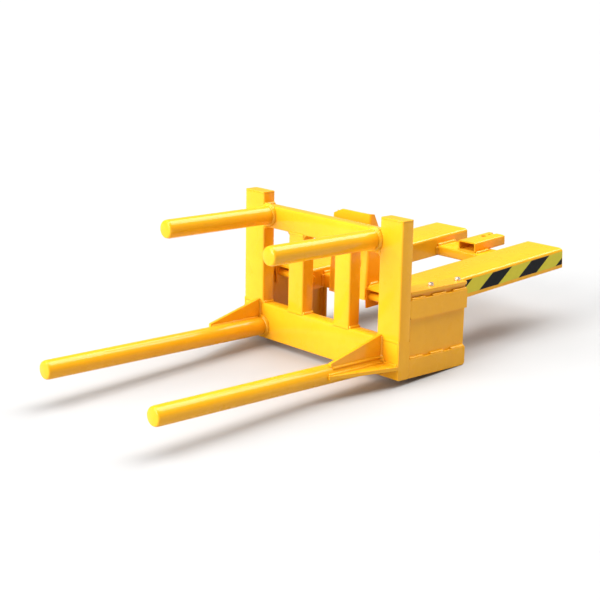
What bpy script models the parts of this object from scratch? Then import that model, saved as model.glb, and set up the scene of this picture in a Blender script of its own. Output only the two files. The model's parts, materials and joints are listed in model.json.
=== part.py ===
"""Tilting pallet fork attachment with round tines.

The base slides onto a truck's two forks: two fork pockets, cross tubes, a folded
tower and a receiver tube.  The head carries four round tines on a welded frame with
a side box at each end, and tilts on a pivot pin through the front of each pocket.

Units are metres, +Z up, tines towards -Y, fork pockets towards +Y, +X to the right.
Design dimensions are in millimetres and turned into metres by mm().
The base is drawn from the pivot axis.  The head is drawn in its own frame, also from
the pivot axis, and turned as one by its empty.
"""

import math

import bmesh
import bpy
from mathutils import Matrix, Vector

MM = 0.001
GAP = 0.3                    # gap kept between pieces that touch

# Base: fork pockets
POCKET_INNER_X = 114.0       # inner side of each pocket
POCKET_WIDTH = 133.0
POCKET_HEIGHT = 57.0
POCKET_WALL = 6.0
POCKET_BEND = 9.0            # outside bend radius of the folded top edges
POCKET_TOP = 28.0            # above the pivot axis
POCKET_FRONT = -16.0
POCKET_REAR = 637.0
STRAP_LENGTH = 60.0          # straps that close the pockets underneath
STRAP_THICKNESS = 5.0
STRAP_STATIONS = (70.0, 540.0)

# Base: cross tubes, receiver tube and tower
CROSS_SIZE = 40.0
CROSS_WALL = 4.0
FRONT_CROSS_Y = 43.0
MIDDLE_CROSS_Y = 128.0
REAR_CROSS_Y = 502.0
REAR_CROSS_DEPTH = 80.0
REAR_CROSS_HEIGHT = 30.0
RECEIVER_WIDTH = 65.0
RECEIVER_HEIGHT = 30.0
RECEIVER_WALL = 4.0
RECEIVER_FRONT = 507.0
RECEIVER_HOLE_X = -6.0
RECEIVER_HOLES = ((588.0, 8.0), (614.0, 4.5), (634.0, 7.5))   # (station along Y, radius)
TOWER_X = -8.0               # centre of the tower
TOWER_WIDTH = 148.0
TOWER_WALL = 6.0
TOWER_BEND = 9.0
TOWER_FOOT_Y = 30.0
TOWER_LEAN = 6.8             # degrees the tower leans towards the rear
TOWER_HEIGHT = 232.0
TOWER_TOP_DEPTH = 14.0
TOWER_FOOT_DEPTH = 138.0
TOWER_TAPER_START = 118.0    # depth of the flanges where their taper begins
TOWER_CORNER = (39.0, 17.0)  # cut off the left top corner, across and down
TOWER_HOLE_RADIUS = 42.0
TOWER_HOLE = (8.0, 93.0)     # across from the tower's centre, and above its foot

# Head: welded frame
HEAD_TILT = 3.9              # degrees the tines point up from the pockets at rest
FRAME_WIDTH = 610.0
FRAME_DEPTH = 40.0
FRAME_REAR = -40.0           # rear face of the frame, from the pivot axis
FRAME_FOOT = -174.0          # underside of the bottom rail
SECTION_WALL = 4.0
SECTION_RADIUS = 5.0
BOTTOM_RAIL_HEIGHT = 100.0
UPRIGHT_WIDTH = 80.0
UPRIGHT_TOP = 411.0          # above the frame's foot
TOP_RAIL_RANGE = (316.0, 376.0)
POST_WIDTH = 60.0
POST_CENTRE_X = 91.0
CAP_THICKNESS = 4.0

# Head: tines and their gussets
TINE_RADIUS = 25.0
TINE_NOSE_LENGTH = 12.0      # the tip's edge is rounded over this length
TINE_NOSE_INSET = 4.5        # and by this much of the radius
LOWER_TINE_X = 228.0
LOWER_TINE_HEIGHT = 34.0
LOWER_TINE_LENGTH = 702.0
UPPER_TINE_X = 205.0
UPPER_TINE_HEIGHT = 351.0
UPPER_TINE_LENGTH = 348.0
GUSSET_X = 240.0             # the upright gusset stands outboard of the tine's centre
GUSSET_THICKNESS = 10.0
GUSSET_LENGTH = 174.0
GUSSET_TOP = 110.0           # above the frame's foot
GUSSET_FOOT = 15.0           # above the tine's centre, before the foot is coped to the tine
GUSSET_NOSE = 6.0            # blunt ends of the gussets
WING_LENGTH = 192.0

# Head: side boxes
BOX_REAR = 170.0
BOX_TOP = 217.0              # underside of the cover, above the frame's foot
CHEEK_X = 250.3
CHEEK_WALL = 6.0
PANEL_X = 291.7
PANEL_WALL = 5.0
BAR_HEIGHT = 50.0
UPPER_BAR_FOOT = 155.0
BAR_CORNER = 8.0
COVER_THICKNESS = 8.0
COVER_OUTER_X = 302.0
COVER_CORNER = 5.0
COVER_OVERHANG = 2.0         # past the box's rear face
REAR_PLATE_WALL = 6.0
REAR_PLATE_LIFT = 4.0        # rear plate's lower edge, above the frame's foot
REAR_TAB_X = 232.0
REAR_TAB_TOP = -54.0         # top of the tab inside the cheek, from the pivot axis
NUT_BAR_WIDTH = 24.0
NUT_BAR_HEIGHT = 16.0
NUT_BAR_FRONT = 40.0
BOLT_X = 279.0
BOLT_STATIONS = (57.0, 158.0)

# Pivot, clamp and fasteners
PIN_RADIUS = 10.0
PIN_START_X = 108.0
PIN_END_X = 286.0
PIN_CHAMFER = 1.5
BUSH_RADIUS = 17.0
BUSH_FLANGE = 21.0
BUSH_FLANGE_WALL = 3.0
BUSH_PROUD = 1.5             # past the cheek's inner face
COLLAR_RADIUS = 17.0
COLLAR_LENGTH = 12.0
COLLAR_CLEARANCE = 4.0       # from the cheek, room for the bush's flange
STUD_RADIUS = 10.0
STUD_REACH = 120.0           # from the pivot axis
STUD_ANGLE = -7.0            # degrees from the base's level line
STUD_END_X = 286.0
SLOT_RADIUS = 10.7
SLOT_ANGLES = (-7.4, 3.4)    # degrees from the head's level line, ends of the tilt
CLAMP_NUT_ACROSS = 30.0
CLAMP_NUT_THICKNESS = 16.0
CLAMP_WASHER_RADIUS = 22.0
CLAMP_WASHER_THICKNESS = 4.0
BOLT_RADIUS = 4.0
BOLT_ACROSS = 13.0
BOLT_HEAD_HEIGHT = 5.5
BOLT_WASHER_RADIUS = 8.0
BOLT_WASHER_THICKNESS = 2.0
BOLT_CROWN = 1.0             # height of the chamfer on a bolt's head
BOLT_CROWN_RATIO = 0.86      # its top radius over the head's

# How finely round shapes are drawn
ROUND_STEPS = 40
HOLE_STEPS = 32
BOLT_STEPS = 24
NOSE_STEPS = 5
BEND_STEPS = 6
INNER_BEND_STEPS = 4
CORNER_STEPS = 3
SLOT_STEPS = 10
SLOT_END_STEPS = 8
SHARP_ANGLE = 30.0           # degrees, steeper edges stay sharp
MIN_INNER_RADIUS = 1.0       # least corner radius inside a hollow section

OVERRUN = 5.0                # how far a drill or cutter runs past the face it cuts
CUTTER_REACH = 40.0          # how far a large cutter runs past the piece

SIDES = (("left", -1.0), ("right", 1.0))


def mm(*values):
    """Millimetres to metres, as one number or as a vector."""
    if len(values) == 1:
        return values[0] * MM
    return Vector(values) * MM


# ---------------------------------------------------------------- scene and finish

def clear_scene():
    for obj in list(bpy.data.objects):
        bpy.data.objects.remove(obj, do_unlink=True)


def make_material(name, colour, roughness, metallic):
    material = bpy.data.materials.new(name)
    material.use_nodes = True
    shader = material.node_tree.nodes["Principled BSDF"]
    shader.inputs["Base Color"].default_value = (*colour, 1.0)
    shader.inputs["Roughness"].default_value = roughness
    shader.inputs["Metallic"].default_value = metallic
    material.diffuse_color = (*colour, 1.0)
    return material


def make_materials():
    return {
        "paint": make_material("yellow_enamel", (0.86, 0.43, 0.01), 0.30, 0.0),
        "zinc": make_material("zinc_plate", (0.70, 0.71, 0.72), 0.32, 1.0),
        "bronze": make_material("bronze", (0.62, 0.42, 0.20), 0.38, 1.0),
    }


def make_empty(name, location, tilt=0.0):
    empty = bpy.data.objects.new(name, None)
    empty.location = location
    empty.rotation_euler = (tilt, 0.0, 0.0)
    bpy.context.collection.objects.link(empty)
    return empty


def finish(bm, name, parent, material, smooth=False):
    """Turn a bmesh in millimetres into a named object with a parent and a material."""
    bmesh.ops.scale(bm, vec=(MM, MM, MM), verts=bm.verts)
    bmesh.ops.recalc_face_normals(bm, faces=bm.faces)
    mesh = bpy.data.meshes.new(name)
    bm.to_mesh(mesh)
    bm.free()
    if smooth:
        mesh.shade_smooth()
        mesh.set_sharp_from_angle(angle=math.radians(SHARP_ANGLE))
    obj = bpy.data.objects.new(name, mesh)
    bpy.context.collection.objects.link(obj)
    obj.parent = parent
    if material is not None:
        mesh.materials.append(material)
    return obj


def cut(target, cutter):
    """Take the cutter's volume out of the target, and keep the cutter as a guide."""
    cutter.hide_render = True
    cutter.display_type = "WIRE"
    modifier = target.modifiers.new(cutter.name, "BOOLEAN")
    modifier.operation = "DIFFERENCE"
    modifier.object = cutter


# ---------------------------------------------------------------- outlines and solids

def arc(centre, radius, start, end, steps):
    """Points on an arc, angles in degrees, both ends included."""
    points = []
    for i in range(steps + 1):
        angle = math.radians(start + (end - start) * i / steps)
        points.append((centre[0] + radius * math.cos(angle), centre[1] + radius * math.sin(angle)))
    return points


def circle(centre, radius, steps=HOLE_STEPS):
    return arc(centre, radius, 0.0, 360.0, steps)[:-1]


def rounded_rectangle(width, height, radius, steps=CORNER_STEPS, centre=(0.0, 0.0)):
    half_w, half_h = width / 2 - radius, height / 2 - radius
    corners = ((half_w, half_h, 0.0), (-half_w, half_h, 90.0),
               (-half_w, -half_h, 180.0), (half_w, -half_h, 270.0))
    points = []
    for x, y, start in corners:
        points += arc((centre[0] + x, centre[1] + y), radius, start, start + 90.0, steps)
    return points


def arc_slot(centre, reach, half_width, start, end, steps=SLOT_STEPS):
    """A slot of round ends that runs along an arc about the centre."""
    outer = arc(centre, reach + half_width, start, end, steps)
    inner = arc(centre, reach - half_width, end, start, steps)
    a0, a1 = math.radians(start), math.radians(end)
    end_centre = (centre[0] + reach * math.cos(a1), centre[1] + reach * math.sin(a1))
    start_centre = (centre[0] + reach * math.cos(a0), centre[1] + reach * math.sin(a0))
    end_cap = arc(end_centre, half_width, end, end + 180.0, SLOT_END_STEPS)[1:-1]
    start_cap = arc(start_centre, half_width, start + 180.0, start + 360.0, SLOT_END_STEPS)[1:-1]
    return outer + end_cap + inner + start_cap


def plane_matrix(axis):
    """Maps outline (u, v) and depth w onto X, Y, Z for an extrusion along the axis."""
    columns = {
        "X": ((0, 1, 0), (0, 0, 1), (1, 0, 0)),
        "Y": ((1, 0, 0), (0, 0, 1), (0, 1, 0)),
        "Z": ((1, 0, 0), (0, 1, 0), (0, 0, 1)),
    }[axis]
    return Matrix(columns).transposed()


def plate(outline, axis, start, end, holes=()):
    """A flat plate with holes: an outline pushed from start to end along an axis."""
    turn = plane_matrix(axis)
    bm = bmesh.new()
    for loop in (outline, *holes):
        verts = [bm.verts.new(turn @ Vector((u, v, start))) for u, v in loop]
        for i, vert in enumerate(verts):
            bm.edges.new((vert, verts[(i + 1) % len(verts)]))
    bmesh.ops.triangle_fill(bm, use_beauty=True, edges=bm.edges)
    if not holes:
        bmesh.ops.dissolve_faces(bm, faces=bm.faces)
    grown = bmesh.ops.extrude_face_region(bm, geom=bm.faces)
    moved = [item for item in grown["geom"] if isinstance(item, bmesh.types.BMVert)]
    bmesh.ops.translate(bm, verts=moved, vec=turn @ Vector((0.0, 0.0, end - start)))
    return bm


def block(x, y, z):
    """A box from three (low, high) ranges."""
    outline = [(x[0], y[0]), (x[1], y[0]), (x[1], y[1]), (x[0], y[1])]
    return plate(outline, "Z", z[0], z[1])


def section_tube(x, y, z, axis, wall, radius=SECTION_RADIUS):
    """Hollow section with rounded corners that fills three ranges, open along the axis."""
    ranges = {"X": (y, z, x), "Y": (x, z, y), "Z": (x, y, z)}[axis]
    (u0, u1), (v0, v1), (w0, w1) = ranges
    centre = ((u0 + u1) / 2, (v0 + v1) / 2)
    outer = rounded_rectangle(u1 - u0, v1 - v0, radius, centre=centre)
    inner_radius = max(radius - wall, MIN_INNER_RADIUS)
    inner = rounded_rectangle(u1 - u0 - 2 * wall, v1 - v0 - 2 * wall, inner_radius, centre=centre)
    turn = plane_matrix(axis)
    bm = bmesh.new()
    rings = []
    for loop, w in ((outer, w0), (outer, w1), (inner, w1), (inner, w0)):
        rings.append([bm.verts.new(turn @ Vector((u, v, w))) for u, v in loop])
    bridge_closed(bm, rings)
    return bm


def bridge_closed(bm, rings):
    """Join each ring to the next, and the last to the first."""
    count = len(rings[0])
    for ring, following in zip(rings, rings[1:] + rings[:1]):
        for i in range(count):
            j = (i + 1) % count
            bm.faces.new((ring[i], ring[j], following[j], following[i]))


def turned(profile, axis, centre, steps=ROUND_STEPS, bored=False):
    """A turned piece: (radius, station) points along an axis through the centre."""
    turn = plane_matrix(axis)
    origin = Vector(centre)
    bm = bmesh.new()
    rings = []
    for radius, station in profile:
        points = circle((0.0, 0.0), radius, steps)
        rings.append([bm.verts.new(origin + turn @ Vector((u, v, station))) for u, v in points])
    if bored:
        bridge_closed(bm, rings)
        return bm
    for ring, following in zip(rings, rings[1:]):
        for i in range(steps):
            j = (i + 1) % steps
            bm.faces.new((ring[i], ring[j], following[j], following[i]))
    bm.faces.new(rings[0])
    bm.faces.new(rings[-1])
    return bm


def mirror_range(side, low, high):
    """The range low to high on one side of the centre plane, in rising order."""
    return tuple(sorted((side * low, side * high)))


# ---------------------------------------------------------------- base

def fork_pocket(name, side, base, materials):
    """Folded channel, open underneath, that the truck's fork slides into."""
    x0, x1 = mirror_range(side, POCKET_INNER_X, POCKET_INNER_X + POCKET_WIDTH)
    top, bottom = POCKET_TOP, POCKET_TOP - POCKET_HEIGHT
    bend = POCKET_BEND
    inside = bend - POCKET_WALL
    outline = [(x1, bottom)]
    outline += arc((x1 - bend, top - bend), bend, 0.0, 90.0, BEND_STEPS)
    outline += arc((x0 + bend, top - bend), bend, 90.0, 180.0, BEND_STEPS)
    outline += [(x0, bottom), (x0 + POCKET_WALL, bottom)]
    outline += arc((x0 + bend, top - bend), inside, 180.0, 90.0, INNER_BEND_STEPS)
    outline += arc((x1 - bend, top - bend), inside, 90.0, 0.0, INNER_BEND_STEPS)
    outline += [(x1 - POCKET_WALL, bottom)]
    bm = plate(outline, "Y", POCKET_FRONT, POCKET_REAR)
    pocket = finish(bm, name, base, materials["paint"], smooth=True)
    bore = PIN_RADIUS + GAP
    drill = turned([(bore, x0 - OVERRUN), (bore, x1 + OVERRUN)], "X", (0.0, 0.0, 0.0), HOLE_STEPS)
    cut(pocket, finish(drill, name + "_pin_drill", base, None))
    return pocket


def pocket_strap(name, side, station, base, materials):
    """Plate between the pocket's walls that keeps the fork in."""
    inner = POCKET_INNER_X + POCKET_WALL + GAP
    outer = POCKET_INNER_X + POCKET_WIDTH - POCKET_WALL - GAP
    bottom = POCKET_TOP - POCKET_HEIGHT
    bm = block(mirror_range(side, inner, outer), (station, station + STRAP_LENGTH),
               (bottom, bottom + STRAP_THICKNESS))
    return finish(bm, name, base, materials["paint"])


def cross_tube(name, y, z, base, materials):
    reach = POCKET_INNER_X - GAP
    bm = section_tube((-reach, reach), y, z, "X", CROSS_WALL)
    return finish(bm, name, base, materials["paint"], smooth=True)


def receiver_tube(base, materials):
    """Short open tube on the rear cross tube, with pin holes in its top wall."""
    floor = POCKET_TOP - POCKET_HEIGHT + REAR_CROSS_HEIGHT + GAP
    half = RECEIVER_WIDTH / 2
    bm = section_tube((-half, half), (RECEIVER_FRONT, POCKET_REAR), (floor, floor + RECEIVER_HEIGHT),
                      "Y", RECEIVER_WALL)
    tube = finish(bm, "receiver_tube", base, materials["paint"], smooth=True)
    top = floor + RECEIVER_HEIGHT
    for index, (station, radius) in enumerate(RECEIVER_HOLES, start=1):
        drill = turned([(radius, -RECEIVER_WALL - OVERRUN), (radius, OVERRUN)], "Z",
                       (RECEIVER_HOLE_X, station, top), HOLE_STEPS)
        cut(tube, finish(drill, "receiver_drill_%d" % index, base, None))
    return tube


def tower(base, materials):
    """Folded channel that stands on the cross tubes, with tapered side flanges."""
    foot = POCKET_TOP - POCKET_HEIGHT
    stand = make_empty("tower_lean", mm(TOWER_X, TOWER_FOOT_Y, foot), math.radians(-TOWER_LEAN))
    stand.parent = base
    half, bend, wall = TOWER_WIDTH / 2, TOWER_BEND, TOWER_WALL
    depth = TOWER_FOOT_DEPTH
    outline = [(half, depth)]
    outline += arc((half - bend, bend), bend, 0.0, -90.0, BEND_STEPS)
    outline += arc((-half + bend, bend), bend, 270.0, 180.0, BEND_STEPS)
    outline += [(-half, depth), (-half + wall, depth)]
    outline += arc((-half + bend, bend), bend - wall, 180.0, 270.0, INNER_BEND_STEPS)
    outline += arc((half - bend, bend), bend - wall, -90.0, 0.0, INNER_BEND_STEPS)
    outline += [(half - wall, depth)]
    bm = plate(outline, "Z", 0.0, TOWER_HEIGHT)
    body = finish(bm, "tower_bracket", stand, materials["paint"], smooth=True)

    reach = half + OVERRUN
    beyond = CUTTER_REACH
    taper = [(TOWER_TOP_DEPTH, TOWER_HEIGHT + beyond), (TOWER_TOP_DEPTH, TOWER_HEIGHT),
             (TOWER_TAPER_START, CROSS_SIZE), (depth + beyond, CROSS_SIZE),
             (depth + beyond, TOWER_HEIGHT + beyond)]
    cut(body, finish(plate(taper, "X", -reach, reach), "tower_taper", stand, None))
    seat = foot + CROSS_SIZE + GAP
    relief = [(FRONT_CROSS_Y - GAP, foot - beyond), (depth + 2 * beyond, foot - beyond),
              (depth + 2 * beyond, seat), (FRONT_CROSS_Y - GAP, seat)]
    cut(body, finish(plate(relief, "X", TOWER_X - reach, TOWER_X + reach), "tower_relief", base, None))
    across, down = TOWER_CORNER
    above = TOWER_HEIGHT + OVERRUN
    corner = [(-reach, above), (-half + across, above), (-half + across, TOWER_HEIGHT),
              (-half, TOWER_HEIGHT - down), (-reach, TOWER_HEIGHT - down)]
    corner_cutter = plate(corner, "Y", -OVERRUN, TOWER_TOP_DEPTH + OVERRUN)
    cut(body, finish(corner_cutter, "tower_corner", stand, None))
    hole = circle(TOWER_HOLE, TOWER_HOLE_RADIUS, ROUND_STEPS)
    cut(body, finish(plate(hole, "Y", -OVERRUN, wall + OVERRUN), "tower_hole", stand, None))
    return body


def pivot_pin(name, side, base, materials):
    """Rod through the pocket's walls and the box cheek that the head turns on."""
    x0, x1 = mirror_range(side, PIN_START_X, PIN_END_X)
    chamfer = PIN_CHAMFER
    profile = [(PIN_RADIUS - chamfer, x0), (PIN_RADIUS, x0 + chamfer),
               (PIN_RADIUS, x1 - chamfer), (PIN_RADIUS - chamfer, x1)]
    return finish(turned(profile, "X", (0.0, 0.0, 0.0)), name, base, materials["paint"], smooth=True)


def pin_collar(name, side, base, materials):
    inner = CHEEK_X + CHEEK_WALL + COLLAR_CLEARANCE
    x0, x1 = mirror_range(side, inner, inner + COLLAR_LENGTH)
    bore = PIN_RADIUS + GAP
    profile = [(COLLAR_RADIUS, x0), (COLLAR_RADIUS, x1), (bore, x1), (bore, x0)]
    bm = turned(profile, "X", (0.0, 0.0, 0.0), bored=True)
    return finish(bm, name, base, materials["zinc"], smooth=True)


def clamp_parts(side_name, side, base, materials):
    """Stud on the pocket's side, with the washer and nut that lock the tilt."""
    start = POCKET_INNER_X + POCKET_WIDTH + GAP
    angle = math.radians(STUD_ANGLE)
    y, z = STUD_REACH * math.cos(angle), STUD_REACH * math.sin(angle)
    centre = (0.0, y, z)
    x0, x1 = mirror_range(side, start, STUD_END_X)
    stud = turned([(STUD_RADIUS, x0), (STUD_RADIUS, x1)], "X", centre)
    finish(stud, "clamp_stud_" + side_name, base, materials["zinc"], smooth=True)
    bore = STUD_RADIUS + GAP
    washer_x = CHEEK_X + CHEEK_WALL + GAP
    x0, x1 = mirror_range(side, washer_x, washer_x + CLAMP_WASHER_THICKNESS)
    washer = turned([(CLAMP_WASHER_RADIUS, x0), (CLAMP_WASHER_RADIUS, x1), (bore, x1), (bore, x0)],
                    "X", centre, bored=True)
    finish(washer, "clamp_washer_" + side_name, base, materials["zinc"], smooth=True)
    nut_x = washer_x + CLAMP_WASHER_THICKNESS + GAP
    x0, x1 = mirror_range(side, nut_x, nut_x + CLAMP_NUT_THICKNESS)
    hexagon = circle((y, z), CLAMP_NUT_ACROSS / math.sqrt(3.0), 6)
    nut = plate(hexagon, "X", x0, x1, holes=[circle((y, z), bore)])
    finish(nut, "clamp_nut_" + side_name, base, materials["zinc"])


def build_base(base, materials):
    bottom = POCKET_TOP - POCKET_HEIGHT
    for side_name, side in SIDES:
        fork_pocket("fork_pocket_" + side_name, side, base, materials)
        for place, station in zip(("front", "rear"), STRAP_STATIONS):
            pocket_strap("pocket_strap_%s_%s" % (place, side_name), side, station, base, materials)
        pivot_pin("pivot_pin_" + side_name, side, base, materials)
        pin_collar("pin_collar_" + side_name, side, base, materials)
        clamp_parts(side_name, side, base, materials)
    level = (bottom, bottom + CROSS_SIZE)
    cross_tube("front_cross_tube", (FRONT_CROSS_Y, FRONT_CROSS_Y + CROSS_SIZE), level, base, materials)
    cross_tube("middle_cross_tube", (MIDDLE_CROSS_Y, MIDDLE_CROSS_Y + CROSS_SIZE), level, base, materials)
    cross_tube("rear_cross_tube", (REAR_CROSS_Y, REAR_CROSS_Y + REAR_CROSS_DEPTH),
               (bottom, bottom + REAR_CROSS_HEIGHT), base, materials)
    receiver_tube(base, materials)
    tower(base, materials)


# ---------------------------------------------------------------- head

def frame_y():
    return (FRAME_REAR - FRAME_DEPTH, FRAME_REAR)


def height(value):
    """A height above the frame's foot, from the pivot axis."""
    return FRAME_FOOT + value


def frame_members(head, materials):
    """Bottom rail on the floor, uprights on it, top rail and inner posts between."""
    paint = materials["paint"]
    half = FRAME_WIDTH / 2
    rail_reach = half - CAP_THICKNESS - GAP
    rail = section_tube((-rail_reach, rail_reach), frame_y(), (height(0.0), height(BOTTOM_RAIL_HEIGHT)),
                        "X", SECTION_WALL)
    finish(rail, "bottom_rail", head, paint, smooth=True)
    upright_foot = height(BOTTOM_RAIL_HEIGHT + GAP)
    upright_top = height(UPRIGHT_TOP - CAP_THICKNESS - GAP)
    inner = half - UPRIGHT_WIDTH
    for side_name, side in SIDES:
        upright = section_tube(mirror_range(side, inner, half), frame_y(), (upright_foot, upright_top),
                               "Z", SECTION_WALL)
        finish(upright, "upright_" + side_name, head, paint, smooth=True)
        cap_outline = rounded_rectangle(UPRIGHT_WIDTH, FRAME_DEPTH, SECTION_RADIUS,
                                        centre=(side * (half - UPRIGHT_WIDTH / 2), sum(frame_y()) / 2))
        cap = plate(cap_outline, "Z", height(UPRIGHT_TOP - CAP_THICKNESS), height(UPRIGHT_TOP))
        finish(cap, "upright_cap_" + side_name, head, paint)
        end_outline = rounded_rectangle(FRAME_DEPTH, BOTTOM_RAIL_HEIGHT, SECTION_RADIUS,
                                        centre=(sum(frame_y()) / 2, height(BOTTOM_RAIL_HEIGHT / 2)))
        end = plate(end_outline, "X", *mirror_range(side, half - CAP_THICKNESS, half))
        finish(end, "bottom_rail_cap_" + side_name, head, paint)
        post_range = (POST_CENTRE_X - POST_WIDTH / 2, POST_CENTRE_X + POST_WIDTH / 2)
        post = section_tube(mirror_range(side, *post_range), frame_y(),
                            (upright_foot, height(TOP_RAIL_RANGE[0] - GAP)), "Z", SECTION_WALL)
        finish(post, "inner_post_" + side_name, head, paint, smooth=True)
    top_reach = inner - GAP
    top_rail = section_tube((-top_reach, top_reach), frame_y(),
                            (height(TOP_RAIL_RANGE[0]), height(TOP_RAIL_RANGE[1])), "X", SECTION_WALL)
    finish(top_rail, "top_rail", head, paint, smooth=True)


def tine_profile(length):
    """A round bar's (radius, station) outline, its tip's edge rounded as a quarter ellipse."""
    profile = [(TINE_RADIUS, 0.0)]
    for i in range(NOSE_STEPS + 1):
        angle = math.radians(90.0 * i / NOSE_STEPS)
        inset = TINE_NOSE_INSET * (1.0 - math.cos(angle))
        back = TINE_NOSE_LENGTH * (1.0 - math.sin(angle))
        profile.append((TINE_RADIUS - inset, back - length))
    return profile


def tines(head, materials):
    """Four round tines on the frame's front face, and gussets at the lower pair."""
    paint = materials["paint"]
    front = frame_y()[0] - GAP
    half = FRAME_WIDTH / 2
    for side_name, side in SIDES:
        for level, x, z, length in (("lower", LOWER_TINE_X, LOWER_TINE_HEIGHT, LOWER_TINE_LENGTH),
                                    ("upper", UPPER_TINE_X, UPPER_TINE_HEIGHT, UPPER_TINE_LENGTH)):
            bar = turned(tine_profile(length), "Y", (side * x, front, height(z)))
            finish(bar, "%s_tine_%s" % (level, side_name), head, paint, smooth=True)
        level = height(LOWER_TINE_HEIGHT)
        rib_foot = level + GUSSET_FOOT
        nose = GUSSET_NOSE
        rib_tip = level + TINE_RADIUS + nose
        rib = [(front, rib_foot), (front, height(GUSSET_TOP)), (front - nose, height(GUSSET_TOP)),
               (front - GUSSET_LENGTH, rib_tip), (front - GUSSET_LENGTH, rib_foot)]
        centre = side * GUSSET_X
        half_rib = GUSSET_THICKNESS / 2
        rib_plate = finish(plate(rib, "X", centre - half_rib, centre + half_rib),
                           "tine_gusset_" + side_name, head, paint)
        coping = [(TINE_RADIUS + GAP, OVERRUN), (TINE_RADIUS + GAP, -GUSSET_LENGTH - OVERRUN)]
        coping_cutter = turned(coping, "Y", (side * LOWER_TINE_X, front, level))
        cut(rib_plate, finish(coping_cutter, "gusset_coping_" + side_name, head, None))
        inner = LOWER_TINE_X + TINE_RADIUS + GAP
        wing = [(side * inner, front), (side * half, front), (side * half, front - nose),
                (side * (inner + nose), front - WING_LENGTH), (side * inner, front - WING_LENGTH)]
        wing_bm = plate(wing, "Z", level - half_rib, level + half_rib)
        finish(wing_bm, "tine_wing_" + side_name, head, paint)


def side_box(side_name, side, head, materials):
    """Box behind each upright: cheek, outer panel with bars, rear plate and cover."""
    paint = materials["paint"]
    front = FRAME_REAR + GAP
    foot, top = height(0.0), height(BOX_TOP)
    rear_plate_front = BOX_REAR - REAR_PLATE_WALL
    cheek_outline = [(front, foot), (rear_plate_front - GAP, foot), (rear_plate_front - GAP, top - GAP),
                     (front, top - GAP)]
    openings = [circle((0.0, 0.0), BUSH_RADIUS + GAP),
                arc_slot((0.0, 0.0), STUD_REACH, SLOT_RADIUS, *SLOT_ANGLES)]
    cheek = plate(cheek_outline, "X", *mirror_range(side, CHEEK_X, CHEEK_X + CHEEK_WALL), holes=openings)
    finish(cheek, "box_cheek_" + side_name, head, paint)

    x_inner, x_outer = CHEEK_X - BUSH_PROUD, CHEEK_X + CHEEK_WALL
    bore = PIN_RADIUS + GAP
    bush_profile = [(BUSH_RADIUS, x_inner), (BUSH_RADIUS, x_outer + GAP), (BUSH_FLANGE, x_outer + GAP),
                    (BUSH_FLANGE, x_outer + BUSH_FLANGE_WALL), (bore, x_outer + BUSH_FLANGE_WALL),
                    (bore, x_inner)]
    bush = turned([(r, side * x) for r, x in bush_profile], "X", (0.0, 0.0, 0.0), bored=True)
    finish(bush, "pivot_bush_" + side_name, head, materials["bronze"], smooth=True)

    corner = BAR_CORNER
    panel_outline = [(front, foot), (BOX_REAR - corner, foot)]
    panel_outline += arc((BOX_REAR - corner, foot + corner), corner, -90.0, 0.0, CORNER_STEPS)[1:]
    panel_outline += [(BOX_REAR, top - GAP), (front, top - GAP)]
    panel = plate(panel_outline, "X", *mirror_range(side, PANEL_X, PANEL_X + PANEL_WALL))
    finish(panel, "box_panel_" + side_name, head, paint)

    bar_x = mirror_range(side, PANEL_X + PANEL_WALL + GAP, FRAME_WIDTH / 2)
    lower = [(front, foot), (BOX_REAR - corner, foot)]
    lower += arc((BOX_REAR - corner, foot + corner), corner, -90.0, 0.0, CORNER_STEPS)[1:]
    lower += [(BOX_REAR, foot + BAR_HEIGHT), (front, foot + BAR_HEIGHT)]
    finish(plate(lower, "X", *bar_x), "box_lower_bar_" + side_name, head, paint)
    upper_foot = height(UPPER_BAR_FOOT)
    upper = block(bar_x, (front, BOX_REAR), (upper_foot, upper_foot + BAR_HEIGHT))
    finish(upper, "box_upper_bar_" + side_name, head, paint)

    shut = PANEL_X - GAP
    rear_foot = foot + REAR_PLATE_LIFT
    rear = [(side * REAR_TAB_X, rear_foot), (side * shut, rear_foot), (side * shut, top - GAP),
            (side * CHEEK_X, top - GAP), (side * CHEEK_X, REAR_TAB_TOP), (side * REAR_TAB_X, REAR_TAB_TOP)]
    finish(plate(rear, "Y", rear_plate_front, BOX_REAR), "box_rear_plate_" + side_name, head, paint)

    nut_bar_x = mirror_range(side, shut - NUT_BAR_WIDTH, shut)
    drills = [circle((side * BOLT_X, station), BOLT_RADIUS + GAP) for station in BOLT_STATIONS]
    nut_outline = [(nut_bar_x[0], NUT_BAR_FRONT), (nut_bar_x[1], NUT_BAR_FRONT),
                   (nut_bar_x[1], rear_plate_front - GAP), (nut_bar_x[0], rear_plate_front - GAP)]
    nut_bar = plate(nut_outline, "Z", top - GAP - NUT_BAR_HEIGHT, top - GAP, holes=drills)
    finish(nut_bar, "box_nut_bar_" + side_name, head, paint)

    cover_x = mirror_range(side, CHEEK_X, COVER_OUTER_X)
    cover_rear = BOX_REAR + COVER_OVERHANG
    centre = (sum(cover_x) / 2, (front + cover_rear) / 2)
    cover_width = cover_x[1] - cover_x[0]
    cover_outline = rounded_rectangle(cover_width, cover_rear - front, COVER_CORNER, centre=centre)
    cover = plate(cover_outline, "Z", top, top + COVER_THICKNESS, holes=drills)
    finish(cover, "box_cover_" + side_name, head, paint)
    for index, station in enumerate(BOLT_STATIONS, start=1):
        bolt = cover_bolt(side * BOLT_X, station, top + COVER_THICKNESS + GAP)
        finish(bolt, "cover_bolt_%s_%d" % (side_name, index), head, materials["zinc"], smooth=True)


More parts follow.
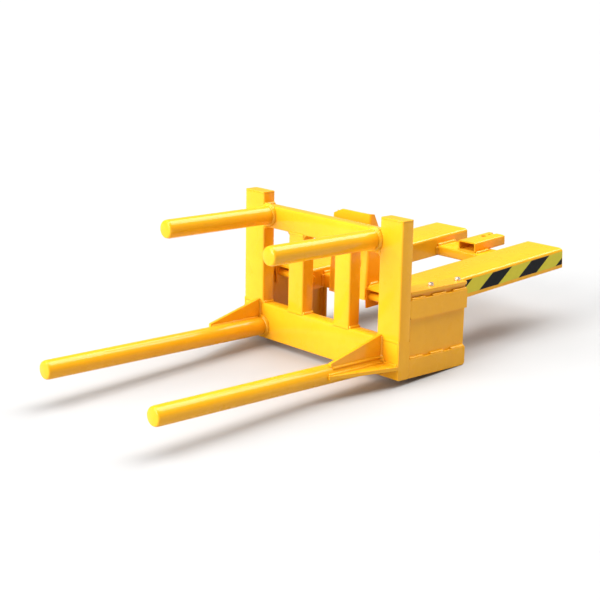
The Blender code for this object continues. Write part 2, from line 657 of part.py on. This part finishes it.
def cover_bolt(x, y, seat):
    """Hexagon bolt with its washer, standing on the seat and pointing down."""
    shank = BOLT_RADIUS
    washer = BOLT_WASHER_RADIUS
    head_radius = BOLT_ACROSS / math.sqrt(3.0)
    step = seat + BOLT_WASHER_THICKNESS
    crown = step + BOLT_HEAD_HEIGHT
    reach = seat - COVER_THICKNESS - NUT_BAR_HEIGHT - 2 * GAP
    levels = [(shank, reach, False), (shank, seat, False), (washer, seat, False), (washer, step, False),
              (head_radius, step, True), (head_radius, crown - BOLT_CROWN, True),
              (head_radius * BOLT_CROWN_RATIO, crown, False)]
    bm = bmesh.new()
    rings = []
    steps = BOLT_STEPS
    for radius, z, hexagonal in levels:
        ring = []
        for i in range(steps):
            angle = 2.0 * math.pi * i / steps
            reach_out = radius
            if hexagonal:
                local = (angle % (math.pi / 3.0)) - math.pi / 6.0
                reach_out = radius * math.cos(math.pi / 6.0) / math.cos(local)
            ring.append(bm.verts.new((x + reach_out * math.cos(angle), y + reach_out * math.sin(angle), z)))
        rings.append(ring)
    for ring, following in zip(rings, rings[1:]):
        for i in range(steps):
            j = (i + 1) % steps
            bm.faces.new((ring[i], ring[j], following[j], following[i]))
    bm.faces.new(rings[0])
    bm.faces.new(rings[-1])
    return bm


def build_head(head, materials):
    frame_members(head, materials)
    tines(head, materials)
    for side_name, side in SIDES:
        side_box(side_name, side, head, materials)


# ---------------------------------------------------------------- assembly

def to_base(y, z):
    """A point of the head's frame, at rest, in the base's frame, both from the pivot."""
    tilt = math.radians(HEAD_TILT)
    return (y * math.cos(tilt) + z * math.sin(tilt), -y * math.sin(tilt) + z * math.cos(tilt))


def pivot_position():
    """Places the pivot so that the origin is at the bottom centre of the whole part."""
    tip_y = frame_y()[0] - GAP - LOWER_TINE_LENGTH
    tip_z = height(LOWER_TINE_HEIGHT) - (TINE_RADIUS - TINE_NOSE_INSET)
    front = to_base(tip_y, tip_z)[0]
    lowest = to_base(BOX_REAR - BAR_CORNER, height(0.0))[1]
    return mm(0.0, -(front + POCKET_REAR) / 2, -lowest)


def main():
    clear_scene()
    materials = make_materials()
    pivot = pivot_position()
    base = make_empty("base_datum", pivot)
    head = make_empty("head_tilt_axis", pivot, math.radians(-HEAD_TILT))
    build_base(base, materials)
    build_head(head, materials)


main()
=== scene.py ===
import json
import math

import bmesh
import bpy
from mathutils import Matrix, Vector


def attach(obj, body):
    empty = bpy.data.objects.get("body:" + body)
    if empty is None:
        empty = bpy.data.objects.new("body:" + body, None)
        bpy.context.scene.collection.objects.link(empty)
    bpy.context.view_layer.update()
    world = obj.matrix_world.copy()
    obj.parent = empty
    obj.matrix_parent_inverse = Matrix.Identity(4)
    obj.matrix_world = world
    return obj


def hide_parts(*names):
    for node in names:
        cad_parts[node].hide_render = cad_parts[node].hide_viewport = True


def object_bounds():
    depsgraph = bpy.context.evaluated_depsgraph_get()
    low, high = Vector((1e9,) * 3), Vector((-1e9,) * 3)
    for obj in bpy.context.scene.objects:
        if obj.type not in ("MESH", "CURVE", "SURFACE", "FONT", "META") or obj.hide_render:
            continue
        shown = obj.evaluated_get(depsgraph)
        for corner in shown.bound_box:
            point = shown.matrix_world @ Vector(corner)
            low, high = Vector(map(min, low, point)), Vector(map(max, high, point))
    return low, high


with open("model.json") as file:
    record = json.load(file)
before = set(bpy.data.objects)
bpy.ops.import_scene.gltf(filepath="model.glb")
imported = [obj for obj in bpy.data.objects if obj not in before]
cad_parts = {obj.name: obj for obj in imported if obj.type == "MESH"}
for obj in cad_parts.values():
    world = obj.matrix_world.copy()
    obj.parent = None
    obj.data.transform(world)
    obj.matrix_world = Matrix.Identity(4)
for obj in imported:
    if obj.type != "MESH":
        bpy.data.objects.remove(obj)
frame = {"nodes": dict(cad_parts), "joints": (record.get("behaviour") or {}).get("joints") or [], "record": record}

cad_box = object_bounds()

# Lengths in metres
EDGE_SHEET = 0.0008          # rounded edge of cut plate
EDGE_SECTION = 0.0006        # rounded edge where a section was sawn
EDGE_FASTENER = 0.0004
SMOOTH_ANGLE = math.radians(35.0)

HEAD_TILT = math.radians(3.9)

RIPPLE_PITCH = 0.0034        # spacing of the ripples along a weld
RIPPLE_DEPTH = 0.16          # share of the weld's size
HAND_WANDER = ((0.07, 1.7), (0.05, 0.31))    # (share of the size, turn for each ripple) of an uneven hand
END_TAPER = 0.5              # share of its size that a bead keeps at its ends
FEWEST_STEPS = 4
FEWEST_RING_STEPS = 16
FILLET = 0.0065              # leg of a weld in a corner
TINE_LEG = FILLET * 1.2      # the same at a tine's root
GUSSET_LEG = FILLET * 0.7
PIN_LEG = FILLET * 0.8
SEAM_WIDTH = 0.0042          # half the width of a weld over a flush joint
SEAM_HEIGHT = 0.0010
SEAM_SUNK = 0.00125          # how deep a seam lies on the outermost faces, so its crest is flush
GROUND_HEIGHT = 0.0003       # the same, ground nearly flush
STITCH_LEG = 0.0064
STITCH_LENGTH = 0.050
STITCH_GAP = 0.022
STUD_LEG = 0.0025
# How far short of an edge a weld stops
CORNER_ROOM = 0.002          # at a corner
END_ROOM = 0.003             # at the end of a plate or a tube
PLATE_ROOM = 0.004           # where another plate is close
ROOT_ROOM = 0.006            # at a tine's root, or at a rear plate's foot
TAB_TOP = -0.056             # top of the tab inside each box, from the pivot

# Outlines of a weld, in shares of its size along u and v
FILLET_SHAPE = ((-0.25, -0.25), (1.0, -0.12), (0.80, 0.34), (0.60, 0.60), (0.34, 0.80), (-0.12, 1.0))
ROUND_FOOT_SHAPE = ((-0.3, -0.3), (0.6, -0.55), (1.0, -0.5), (0.88, 0.2), (0.62, 0.58), (0.34, 0.80),
                    (-0.12, 1.0))
SHELF_SHAPE = ((-0.25, -0.25), (1.0, -0.12), (1.04, 0.26), (0.84, 0.50), (0.45, 0.68), (-0.12, 0.80))
CAP_SHAPE = ((-1.0, -0.4), (-0.62, 0.55), (0.0, 1.0), (0.62, 0.55), (1.0, -0.4))

UP, DOWN = (0, 0, 1), (0, 0, -1)
FORWARD, BACKWARD = (0, -1, 0), (0, 1, 0)    # towards the tines' tips, towards the truck

TAPE_THICKNESS = 0.0003
TAPE_TOP_INSET = 0.009
TAPE_FOOT_INSET = 0.010
TAPE_START = 0.170           # behind the pivot
TAPE_END_INSET = 0.002
TAPE_SUNK = 0.0001           # how far it reaches into the pocket's face
TAPE_CUTS = 40               # stations along it where its edges wander
TAPE_WANDER = ((0.0003, 31.0), (0.0002, 83.0))    # (how far, turn for each metre)
STRIPE_PITCH = 0.162         # between two black stripes, along the pocket
STRIPE_BLACK = 0.487         # share of the pitch that is black
STRIPE_SLOPE = 1.48          # run along the pocket for each unit of height
STRIPE_PHASE = 0.0143

ENAMEL = (0.86, 0.395, 0.010)
ENAMEL_PALE = (0.89, 0.420, 0.011)
ENAMEL_DEEP = (0.83, 0.370, 0.009)
TAPE_YELLOW = (0.66, 0.57, 0.045)
TAPE_BLACK = (0.006, 0.007, 0.008)
ZINC = (0.86, 0.82, 0.74)
ZINC_DARK = (0.60, 0.57, 0.52)
BRONZE = (0.56, 0.36, 0.16)
FLOOR_COLOURS = ((0.405, 0.405, 0.405), (0.42, 0.42, 0.42))
FLOOR_SIZE = 60.0

ENAMEL_COAT = 0.4
ENAMEL_COAT_ROUGHNESS = 0.10
ENAMEL_SPECULAR = 0.08
TAPE_SPECULAR = 0.10

FILL_STRENGTH = 0.21
# Softboxes: name, direction that the light comes from, strength, how wide it looks in degrees
SOFTBOXES = (("front", (-0.30, -0.91, 0.28), 4.95, 45.0),
             ("top", (-0.14, -0.22, 0.96), 2.7, 55.0),
             ("back", (0.10, 0.52, 0.85), 3.6, 46.0))

CAMERA_FROM_PIVOT = Vector((2.6683, -2.4626, 1.0454))
CAMERA_FORWARD = Vector((-0.72362, 0.62901, -0.28415))
CAMERA_RIGHT = Vector((0.66301, 0.74790, -0.03284))
CAMERA_SENSOR = 36.0         # millimetres, as the lens is
CAMERA_LENS = 84.28

joint = frame["joints"][0]
PIVOT = Vector(joint["pos_m"])
BASE = Matrix.Translation(PIVOT)
HEAD = Matrix.Translation(PIVOT) @ Matrix.Rotation(-HEAD_TILT, 4, "X")
PLACE = {"base": BASE, "head": HEAD}
SIDES = (("left", -1.0), ("right", 1.0))


# ------------------------------------------------------------------ materials

def new_material(name):
    material = bpy.data.materials.new(name)
    material.use_nodes = True
    tree = material.node_tree
    return material, tree, tree.nodes["Principled BSDF"]


def add(tree, kind, **settings):
    node = tree.nodes.new(kind)
    for key, value in settings.items():
        setattr(node, key, value)
    return node


def noise(tree, coordinates, scale, detail=3.0, roughness=0.5):
    node = add(tree, "ShaderNodeTexNoise")
    node.inputs["Scale"].default_value = scale
    node.inputs["Detail"].default_value = detail
    node.inputs["Roughness"].default_value = roughness
    tree.links.new(coordinates, node.inputs["Vector"])
    return node.outputs["Fac"]


def math_node(tree, operation, first, second=None):
    node = add(tree, "ShaderNodeMath", operation=operation)
    for socket, value in zip(node.inputs, (first, second)):
        if value is None:
            continue
        if isinstance(value, (int, float)):
            socket.default_value = value
        else:
            tree.links.new(value, socket)
    return node.outputs[0]


def remap(tree, value, low, high, out_low, out_high):
    node = add(tree, "ShaderNodeMapRange")
    for index, number in enumerate((low, high, out_low, out_high), start=1):
        node.inputs[index].default_value = number
    tree.links.new(value, node.inputs[0])
    return node.outputs[0]


def mix(tree, factor, first, second):
    """A colour between two, each a triple or another node's colour."""
    node = add(tree, "ShaderNodeMix", data_type="RGBA")
    tree.links.new(factor, node.inputs["Factor"])
    for socket, value in ((node.inputs[6], first), (node.inputs[7], second)):
        if isinstance(value, tuple):
            socket.default_value = (*value, 1.0)
        else:
            tree.links.new(value, socket)
    return node.outputs[2]


def bump(tree, shader, height, strength, distance):
    node = add(tree, "ShaderNodeBump")
    node.inputs["Strength"].default_value = strength
    node.inputs["Distance"].default_value = distance
    tree.links.new(height, node.inputs["Height"])
    tree.links.new(node.outputs["Normal"], shader.inputs["Normal"])


def enamel_material():
    """Thick glossy stoving enamel: slow colour drift, orange peel and a few dull patches."""
    material, tree, shader = new_material("yellow_enamel_gloss")
    place = add(tree, "ShaderNodeTexCoord").outputs["Object"]
    drift = remap(tree, noise(tree, place, 7.0, 4.0), 0.35, 0.65, 0.0, 1.0)
    cloud = remap(tree, noise(tree, place, 38.0, 5.0, 0.6), 0.42, 0.72, 0.0, 0.55)
    colour = mix(tree, drift, ENAMEL, ENAMEL_PALE)
    colour = mix(tree, cloud, colour, ENAMEL_DEEP)
    tree.links.new(colour, shader.inputs["Base Color"])
    dull = remap(tree, noise(tree, place, 15.0, 4.0, 0.55), 0.35, 0.7, 0.24, 0.38)
    tree.links.new(dull, shader.inputs["Roughness"])
    shader.inputs["Coat Weight"].default_value = ENAMEL_COAT
    shader.inputs["Coat Roughness"].default_value = ENAMEL_COAT_ROUGHNESS
    shader.inputs["Specular IOR Level"].default_value = ENAMEL_SPECULAR
    peel = math_node(tree, "ADD", noise(tree, place, 420.0, 2.0),
                     math_node(tree, "MULTIPLY", noise(tree, place, 60.0, 3.0), 1.6))
    bump(tree, shader, peel, 0.18, 0.0006)
    return material


def tape_material():
    """Striped film: yellow ground, slanting black bars, a little wrinkle and wear."""
    material, tree, shader = new_material("hazard_tape")
    place = add(tree, "ShaderNodeTexCoord").outputs["Object"]
    split = add(tree, "ShaderNodeSeparateXYZ")
    tree.links.new(place, split.inputs[0])
    lean = math_node(tree, "MULTIPLY", split.outputs["Z"], -STRIPE_SLOPE)
    along = math_node(tree, "ADD", split.outputs["Y"], lean)
    shifted = math_node(tree, "ADD", along, STRIPE_PHASE + 10 * STRIPE_PITCH)
    turns = math_node(tree, "DIVIDE", shifted, STRIPE_PITCH)
    part = math_node(tree, "FRACT", turns)
    black = math_node(tree, "LESS_THAN", part, STRIPE_BLACK)
    fade = remap(tree, noise(tree, place, 55.0, 4.0), 0.3, 0.75, 0.0, 0.35)
    ground = mix(tree, fade, TAPE_YELLOW, tuple(0.82 * c for c in TAPE_YELLOW))
    ink = mix(tree, fade, TAPE_BLACK, tuple(2.2 * c for c in TAPE_BLACK))
    tree.links.new(mix(tree, black, ground, ink), shader.inputs["Base Color"])
    shader.inputs["Specular IOR Level"].default_value = TAPE_SPECULAR
    rough = remap(tree, noise(tree, place, 90.0, 3.0), 0.3, 0.7, 0.34, 0.50)
    tree.links.new(rough, shader.inputs["Roughness"])
    bump(tree, shader, noise(tree, place, 130.0, 3.0), 0.12, 0.0004)
    return material


def plated_material(name, bright, dark, metallic=1.0):
    """Plated metal: cloudy crystals, fine drawing marks and uneven gloss."""
    material, tree, shader = new_material(name)
    place = add(tree, "ShaderNodeTexCoord").outputs["Object"]
    crystals = add(tree, "ShaderNodeTexVoronoi")
    crystals.inputs["Scale"].default_value = 320.0
    tree.links.new(place, crystals.inputs["Vector"])
    cloud = math_node(tree, "MULTIPLY", crystals.outputs["Distance"], noise(tree, place, 140.0, 4.0))
    tree.links.new(mix(tree, remap(tree, cloud, 0.05, 0.45, 0.0, 0.8), bright, dark),
                   shader.inputs["Base Color"])
    tree.links.new(remap(tree, noise(tree, place, 260.0, 4.0), 0.3, 0.7, 0.22, 0.46),
                   shader.inputs["Roughness"])
    shader.inputs["Metallic"].default_value = metallic
    bump(tree, shader, noise(tree, place, 900.0, 2.0), 0.15, 0.0002)
    return material


def floor_material():
    material, tree, shader = new_material("studio_floor")
    place = add(tree, "ShaderNodeTexCoord").outputs["Object"]
    fleck = remap(tree, noise(tree, place, 3.0, 2.0), 0.3, 0.7, 0.0, 1.0)
    tree.links.new(mix(tree, fleck, *FLOOR_COLOURS), shader.inputs["Base Color"])
    shader.inputs["Roughness"].default_value = 0.9
    return material


# ------------------------------------------------------------------ CAD pieces, finished

def set_material(obj, material):
    obj.data.materials.clear()
    obj.data.materials.append(material)


def finished_copy(node, body, material, edge):
    """The CAD node's own shape with rounded edges and smooth curves, in its place."""
    bm = bmesh.new()
    bm.from_mesh(frame["nodes"][node].data)
    bmesh.ops.remove_doubles(bm, verts=bm.verts, dist=1e-6)
    bmesh.ops.dissolve_limit(bm, angle_limit=math.radians(0.3), verts=bm.verts, edges=bm.edges)
    mesh = bpy.data.meshes.new(node + "_finished")
    bm.to_mesh(mesh)
    bm.free()
    mesh.shade_smooth()
    mesh.set_sharp_from_angle(angle=SMOOTH_ANGLE)
    obj = bpy.data.objects.new(node + "_finished", mesh)
    bpy.context.scene.collection.objects.link(obj)
    set_material(obj, material)
    bevel = obj.modifiers.new("edges", "BEVEL")
    bevel.width = edge
    bevel.segments = 2
    bevel.limit_method = "ANGLE"
    bevel.angle_limit = SMOOTH_ANGLE
    bevel.harden_normals = True
    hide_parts(node)
    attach(obj, body)
    return obj


def finish_all(materials):
    slots = {item["node"]: item["material_slot"] for item in frame["record"]["subparts"]}
    for body, nodes in frame["record"]["behaviour"]["bodies"].items():
        for node in nodes:
            slot = slots[node]
            edge = EDGE_SHEET if slot == "yellow_enamel" else EDGE_FASTENER
            if node.startswith(("upright_", "bottom_rail", "top_rail", "inner_post", "receiver")):
                edge = EDGE_SECTION
            finished_copy(node, body, materials[slot], edge)


# ------------------------------------------------------------------ welds

def local_box(node, body):
    """(low, high) of a CAD node in its body's own frame, from the pivot."""
    back = PLACE[body].inverted()
    points = [back @ v.co for v in frame["nodes"][node].data.vertices]
    low = Vector(min(p[i] for p in points) for i in range(3))
    high = Vector(max(p[i] for p in points) for i in range(3))
    return low, high


def bead_mesh(stations, shape, width, height, closed):
    """A rippled bead: the shape, sized by width and height, carried through (point, u, v) stations."""
    bm = bmesh.new()
    rings = []
    last = len(stations) - 1
    for i, (point, u, v) in enumerate(stations):
        ripple = 1.0 + RIPPLE_DEPTH * (0.5 if i % 2 else -0.5)
        for share, turn in HAND_WANDER:
            ripple += share * math.sin(i * turn)
        if not closed and i in (0, last):
            ripple *= END_TAPER
        rings.append([bm.verts.new(point + u * (a * width * ripple) + v * (b * height * ripple))
                      for a, b in shape])
    pairs = list(zip(rings, rings[1:]))
    if closed:
        pairs.append((rings[-1], rings[0]))
    for ring, following in pairs:
        for k in range(len(shape)):
            j = (k + 1) % len(shape)
            bm.faces.new((ring[k], ring[j], following[j], following[k]))
    if not closed:
        bm.faces.new(rings[0])
        bm.faces.new(rings[-1])
    bmesh.ops.recalc_face_normals(bm, faces=bm.faces)
    mesh = bpy.data.meshes.new("bead")
    bm.to_mesh(mesh)
    bm.free()
    return mesh


class Welds:
    """Collects the beads of one body and joins them into one piece."""

    def __init__(self, body, material):
        self.body, self.material, self.meshes = body, material, []

    def straight(self, start, end, u, v, shape, width, height):
        start, end = Vector(start), Vector(end)
        steps = max(FEWEST_STEPS, int((end - start).length / RIPPLE_PITCH) * 2)
        stations = [(start.lerp(end, i / steps), Vector(u), Vector(v)) for i in range(steps + 1)]
        self.meshes.append(bead_mesh(stations, shape, width, height, False))

    def fillet(self, start, end, u, v, leg=FILLET, shape=FILLET_SHAPE):
        """A bead in the corner between two faces; u and v run along them, away from the corner."""
        self.straight(start, end, u, v, shape, leg, leg)

    def seam(self, start, end, across, out, height=SEAM_HEIGHT):
        """A low bead over a joint between two flush faces."""
        self.straight(start, end, across, out, CAP_SHAPE, SEAM_WIDTH, height)

    def ring(self, centre, reach, axis, leg=FILLET):
        """A fillet around a round bar that stands on a face; axis points away from the face."""
        axis = Vector(axis)
        first = axis.orthogonal().normalized()
        second = axis.cross(first)
        steps = max(FEWEST_RING_STEPS, int(2 * math.pi * reach / RIPPLE_PITCH) * 2)
        stations = []
        for i in range(steps):
            angle = 2 * math.pi * i / steps
            radial = first * math.cos(angle) + second * math.sin(angle)
            stations.append((Vector(centre) + radial * reach, radial, axis))
        self.meshes.append(bead_mesh(stations, FILLET_SHAPE, leg, leg, True))

    def stitches(self, start, end, u, v, leg=FILLET):
        """Short fillets with gaps between them, ends included."""
        start, end = Vector(start), Vector(end)
        length = (end - start).length
        along = (end - start) / length
        count = max(1, round((length + STITCH_GAP) / (STITCH_LENGTH + STITCH_GAP)))
        step = (length - STITCH_LENGTH) / max(1, count - 1)
        for i in range(count):
            first = start + along * (i * step)
            self.fillet(first, first + along * STITCH_LENGTH, u, v, leg, SHELF_SHAPE)

    def done(self, name):
        bm = bmesh.new()
        for mesh in self.meshes:
            bm.from_mesh(mesh)
            bpy.data.meshes.remove(mesh)
        mesh = bpy.data.meshes.new(name)
        bm.to_mesh(mesh)
        bm.free()
        mesh.transform(PLACE[self.body])
        mesh.shade_smooth()
        obj = bpy.data.objects.new(name, mesh)
        bpy.context.scene.collection.objects.link(obj)
        set_material(obj, self.material)
        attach(obj, self.body)


def outward(side):
    return (side, 0, 0)


def inward(side):
    return (-side, 0, 0)


def by_reach(low, high):
    """The two x values of a box, the one nearest the centre plane first."""
    return sorted((low.x, high.x), key=abs)


def weld_frame(enamel):
    """Rails, uprights and posts."""
    welds = Welds("head", enamel)
    rail_low, rail_high = local_box("bottom_rail", "head")
    top_low, top_high = local_box("top_rail", "head")
    front, back, joint_z = rail_low.y, rail_high.y, rail_high.z
    a, b = front + CORNER_ROOM, back - CORNER_ROOM
    for side_name, side in SIDES:
        inner, outer = by_reach(*local_box("upright_" + side_name, "head"))
        sunk = outer - side * SEAM_SUNK
        welds.seam((sunk, a, joint_z), (sunk, b, joint_z), UP, outward(side))
        welds.seam((inner, front, joint_z), (outer, front, joint_z), UP, FORWARD, GROUND_HEIGHT)
        welds.seam((inner, back, joint_z), (outer, back, joint_z), UP, BACKWARD)
        welds.fillet((inner, a, joint_z), (inner, b, joint_z), inward(side), UP)
        welds.fillet((inner, a, top_low.z), (inner, b, top_low.z), inward(side), DOWN)
        welds.fillet((inner, a, top_high.z), (inner, b, top_high.z), inward(side), UP)
        welds.seam((inner, front, top_low.z), (inner, front, top_high.z), outward(1), FORWARD, GROUND_HEIGHT)
        welds.seam((inner, back, top_low.z), (inner, back, top_high.z), outward(1), BACKWARD)
        low, high = local_box("inner_post_" + side_name, "head")
        for x, way in ((low.x, outward(-1)), (high.x, outward(1))):
            welds.fillet((x, a, joint_z), (x, b, joint_z), way, UP)
            welds.fillet((x, a, top_low.z), (x, b, top_low.z), way, DOWN)
        welds.seam((low.x, front, joint_z), (high.x, front, joint_z), UP, FORWARD, GROUND_HEIGHT)
        welds.seam((low.x, front, top_low.z), (high.x, front, top_low.z), UP, FORWARD, GROUND_HEIGHT)
    welds.done("frame_welds")


def weld_tines(enamel):
    """Tine roots and the gussets of the lower tines."""
    welds = Welds("head", enamel)
    front = local_box("bottom_rail", "head")[0].y
    for side_name, side in SIDES:
        for level in ("lower", "upper"):
            low, high = local_box("%s_tine_%s" % (level, side_name), "head")
            centre = (low + high) / 2
            welds.ring((centre.x, front, centre.z), (high.x - low.x) / 2, FORWARD, TINE_LEG)
        tine_low, tine_high = local_box("lower_tine_" + side_name, "head")
        tine_centre, tine_radius = (tine_low + tine_high) / 2, (tine_high.x - tine_low.x) / 2
        low, high = local_box("tine_gusset_" + side_name, "head")
        for x, way in ((low.x, outward(-1)), (high.x, outward(1))):
            z = tine_centre.z + math.sqrt(tine_radius ** 2 - (x - tine_centre.x) ** 2)
            welds.fillet((x, front - ROOT_ROOM, z), (x, low.y + END_ROOM, z), way, UP, GUSSET_LEG,
                         ROUND_FOOT_SHAPE)
            welds.fillet((x, front, z), (x, front, high.z - END_ROOM), way, FORWARD, GUSSET_LEG)
        low, high = local_box("tine_wing_" + side_name, "head")
        inner, outer = by_reach(low, high)
        for z, way in ((low.z, DOWN), (high.z, UP)):
            welds.fillet((inner, front - ROOT_ROOM, z), (inner, low.y + END_ROOM, z), way, outward(side),
                         GUSSET_LEG, ROUND_FOOT_SHAPE)
            welds.fillet((inner, front, z), (outer - side * END_ROOM, front, z), FORWARD, way, GUSSET_LEG)
    welds.done("tine_welds")


def weld_boxes(enamel):
    """Side boxes: stitch welds on the bars, and the boxes' joints to the frame."""
    welds = Welds("head", enamel)
    back = local_box("bottom_rail", "head")[1].y
    for side_name, side in SIDES:
        panel_low, panel_high = local_box("box_panel_" + side_name, "head")
        face = by_reach(panel_low, panel_high)[1]
        bars = [local_box("box_%s_bar_%s" % (level, side_name), "head") for level in ("lower", "upper")]
        edge = by_reach(*bars[0])[1] - side * SEAM_SUNK
        for low, high in bars:
            welds.stitches((face, back + PLATE_ROOM, high.z), (face, panel_high.y - CORNER_ROOM, high.z),
                           outward(side), UP, STITCH_LEG)
            welds.seam((edge, back, low.z + END_ROOM), (edge, back, high.z - CORNER_ROOM),
                       BACKWARD, outward(side))
        (_, lower_high), (upper_low, upper_high) = bars
        welds.fillet((face, back, lower_high.z), (face, back, upper_low.z), outward(side), BACKWARD)
        welds.fillet((face, back, upper_high.z), (face, back, panel_high.z - END_ROOM),
                     outward(side), BACKWARD)
        cheek_low, cheek_high = local_box("box_cheek_" + side_name, "head")
        inner = by_reach(cheek_low, cheek_high)[0]
        welds.fillet((inner, back, cheek_low.z + PLATE_ROOM), (inner, back, cheek_high.z - PLATE_ROOM),
                     inward(side), BACKWARD)
        plate_low, plate_high = local_box("box_rear_plate_" + side_name, "head")
        shut = by_reach(plate_low, plate_high)[1]
        welds.seam((shut, panel_high.y, plate_low.z + ROOT_ROOM),
                   (shut, panel_high.y, plate_high.z - PLATE_ROOM), outward(side), BACKWARD)
        welds.fillet((inner, plate_low.y, plate_low.z + PLATE_ROOM), (inner, plate_low.y, TAB_TOP),
                     inward(side), FORWARD)
    welds.done("box_welds")


def weld_base(enamel):
    """Cross tubes, receiver tube, tower, studs and pins of the base."""
    welds = Welds("base", enamel)
    for tube in ("front_cross_tube", "middle_cross_tube", "rear_cross_tube"):
        low, high = local_box(tube, "base")
        for x, way in ((low.x, outward(1)), (high.x, outward(-1))):
            welds.fillet((x, low.y + END_ROOM, high.z), (x, high.y - END_ROOM, high.z), way, UP)
            welds.fillet((x, low.y, low.z + END_ROOM), (x, low.y, high.z - END_ROOM), way, FORWARD)
            welds.fillet((x, high.y, low.z + END_ROOM), (x, high.y, high.z - END_ROOM), way, BACKWARD)
    cross_low, cross_high = local_box("rear_cross_tube", "base")
    low, high = local_box("receiver_tube", "base")
    for x, way in ((low.x, outward(-1)), (high.x, outward(1))):
        welds.stitches((x, low.y + END_ROOM, cross_high.z), (x, cross_high.y - END_ROOM, cross_high.z),
                       way, UP)
    front_low, front_high = local_box("front_cross_tube", "base")
    low, high = local_box("tower_bracket", "base")
    for x, way in ((low.x, outward(-1)), (high.x, outward(1))):
        welds.fillet((x, front_low.y + PLATE_ROOM, front_high.z),
                     (x, front_high.y - PLATE_ROOM, front_high.z), way, UP)
    for side_name, side in SIDES:
        inner, outer = by_reach(*local_box("fork_pocket_" + side_name, "base"))
        low, high = local_box("clamp_stud_" + side_name, "base")
        centre, reach = (low + high) / 2, (high.y - low.y) / 2
        welds.ring((outer, centre.y, centre.z), reach, outward(side), STUD_LEG)
        low, high = local_box("pivot_pin_" + side_name, "base")
        centre, reach = (low + high) / 2, (high.y - low.y) / 2
        welds.ring((inner, centre.y, centre.z), reach, inward(side), PIN_LEG)
    welds.done("base_welds")


# ------------------------------------------------------------------ hazard tape

def hazard_tape(side_name, side, material):
    """A strip of striped film on the outer face of one pocket."""
    low, high = local_box("fork_pocket_" + side_name, "base")
    face = max(low.x, high.x, key=abs)
    x = sorted((face - side * TAPE_SUNK, face + side * TAPE_THICKNESS))
    bottom, top = low.z + TAPE_FOOT_INSET, high.z - TAPE_TOP_INSET
    start, end = TAPE_START, high.y - TAPE_END_INSET
    bm = bmesh.new()
    bmesh.ops.create_cube(bm, size=1.0)
    size = Vector((x[1] - x[0], end - start, top - bottom))
    centre = Vector(((x[0] + x[1]) / 2, (start + end) / 2, (bottom + top) / 2))
    bmesh.ops.transform(bm, matrix=Matrix.LocRotScale(centre, None, size), verts=bm.verts)
    long_edges = [e for e in bm.edges if abs(e.verts[0].co.y - e.verts[1].co.y) > 0.1]
    bmesh.ops.subdivide_edges(bm, edges=long_edges, cuts=TAPE_CUTS)
    for vert in bm.verts:
        vert.co.z += sum(reach * math.sin(vert.co.y * turn) for reach, turn in TAPE_WANDER)
    mesh = bpy.data.meshes.new("hazard_tape_" + side_name)
    bm.to_mesh(mesh)
    bm.free()
    obj = bpy.data.objects.new("hazard_tape_" + side_name, mesh)
    bpy.context.scene.collection.objects.link(obj)
    obj.matrix_world = BASE
    set_material(obj, material)
    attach(obj, "base")


# ------------------------------------------------------------------ studio

def floor(material):
    bpy.ops.mesh.primitive_plane_add(size=FLOOR_SIZE, location=(0.0, 0.0, cad_box[0][2]))
    plane = bpy.context.object
    plane.name = "studio_floor"
    set_material(plane, material)


def lights():
    world = bpy.data.worlds.new("studio")
    bpy.context.scene.world = world
    world.use_nodes = True
    tree = world.node_tree
    background = tree.nodes["Background"]
    background.inputs["Color"].default_value = (1.0, 1.0, 1.0, 1.0)
    seen = add(tree, "ShaderNodeLightPath").outputs["Is Camera Ray"]
    strength = remap(tree, seen, 0.0, 1.0, FILL_STRENGTH, 1.0)
    tree.links.new(strength, background.inputs["Strength"])
    for name, direction, strength, width in SOFTBOXES:
        lamp = bpy.data.lights.new(name, "SUN")
        lamp.energy = strength
        lamp.angle = math.radians(width)
        obj = bpy.data.objects.new(name, lamp)
        obj.rotation_euler = Vector(direction).to_track_quat("Z", "Y").to_euler()
        bpy.context.scene.collection.objects.link(obj)
    bpy.context.scene.view_settings.view_transform = "Standard"


def camera():
    """Eye level just above the part, in front of its right-hand side."""
    forward = CAMERA_FORWARD.normalized()
    right = (CAMERA_RIGHT - forward * CAMERA_RIGHT.dot(forward)).normalized()
    up = right.cross(forward)
    data = bpy.data.cameras.new("camera")
    data.sensor_width = CAMERA_SENSOR
    data.lens = CAMERA_LENS
    obj = bpy.data.objects.new("camera", data)
    turn = Matrix((right, up, -forward)).transposed().to_4x4()
    obj.matrix_world = Matrix.Translation(PIVOT + CAMERA_FROM_PIVOT) @ turn
    bpy.context.scene.collection.objects.link(obj)
    bpy.context.scene.camera = obj


def main():
    enamel = enamel_material()
    materials = {
        "yellow_enamel": enamel,
        "zinc_plate": plated_material("zinc_plating", ZINC, ZINC_DARK),
        "bronze": plated_material("bearing_bronze", BRONZE, tuple(0.6 * c for c in BRONZE)),
    }
    tape = tape_material()
    finish_all(materials)
    weld_frame(enamel)
    weld_tines(enamel)
    weld_boxes(enamel)
    weld_base(enamel)
    for side_name, side in SIDES:
        hazard_tape(side_name, side, tape)
    floor(floor_material())
    lights()
    camera()


main()
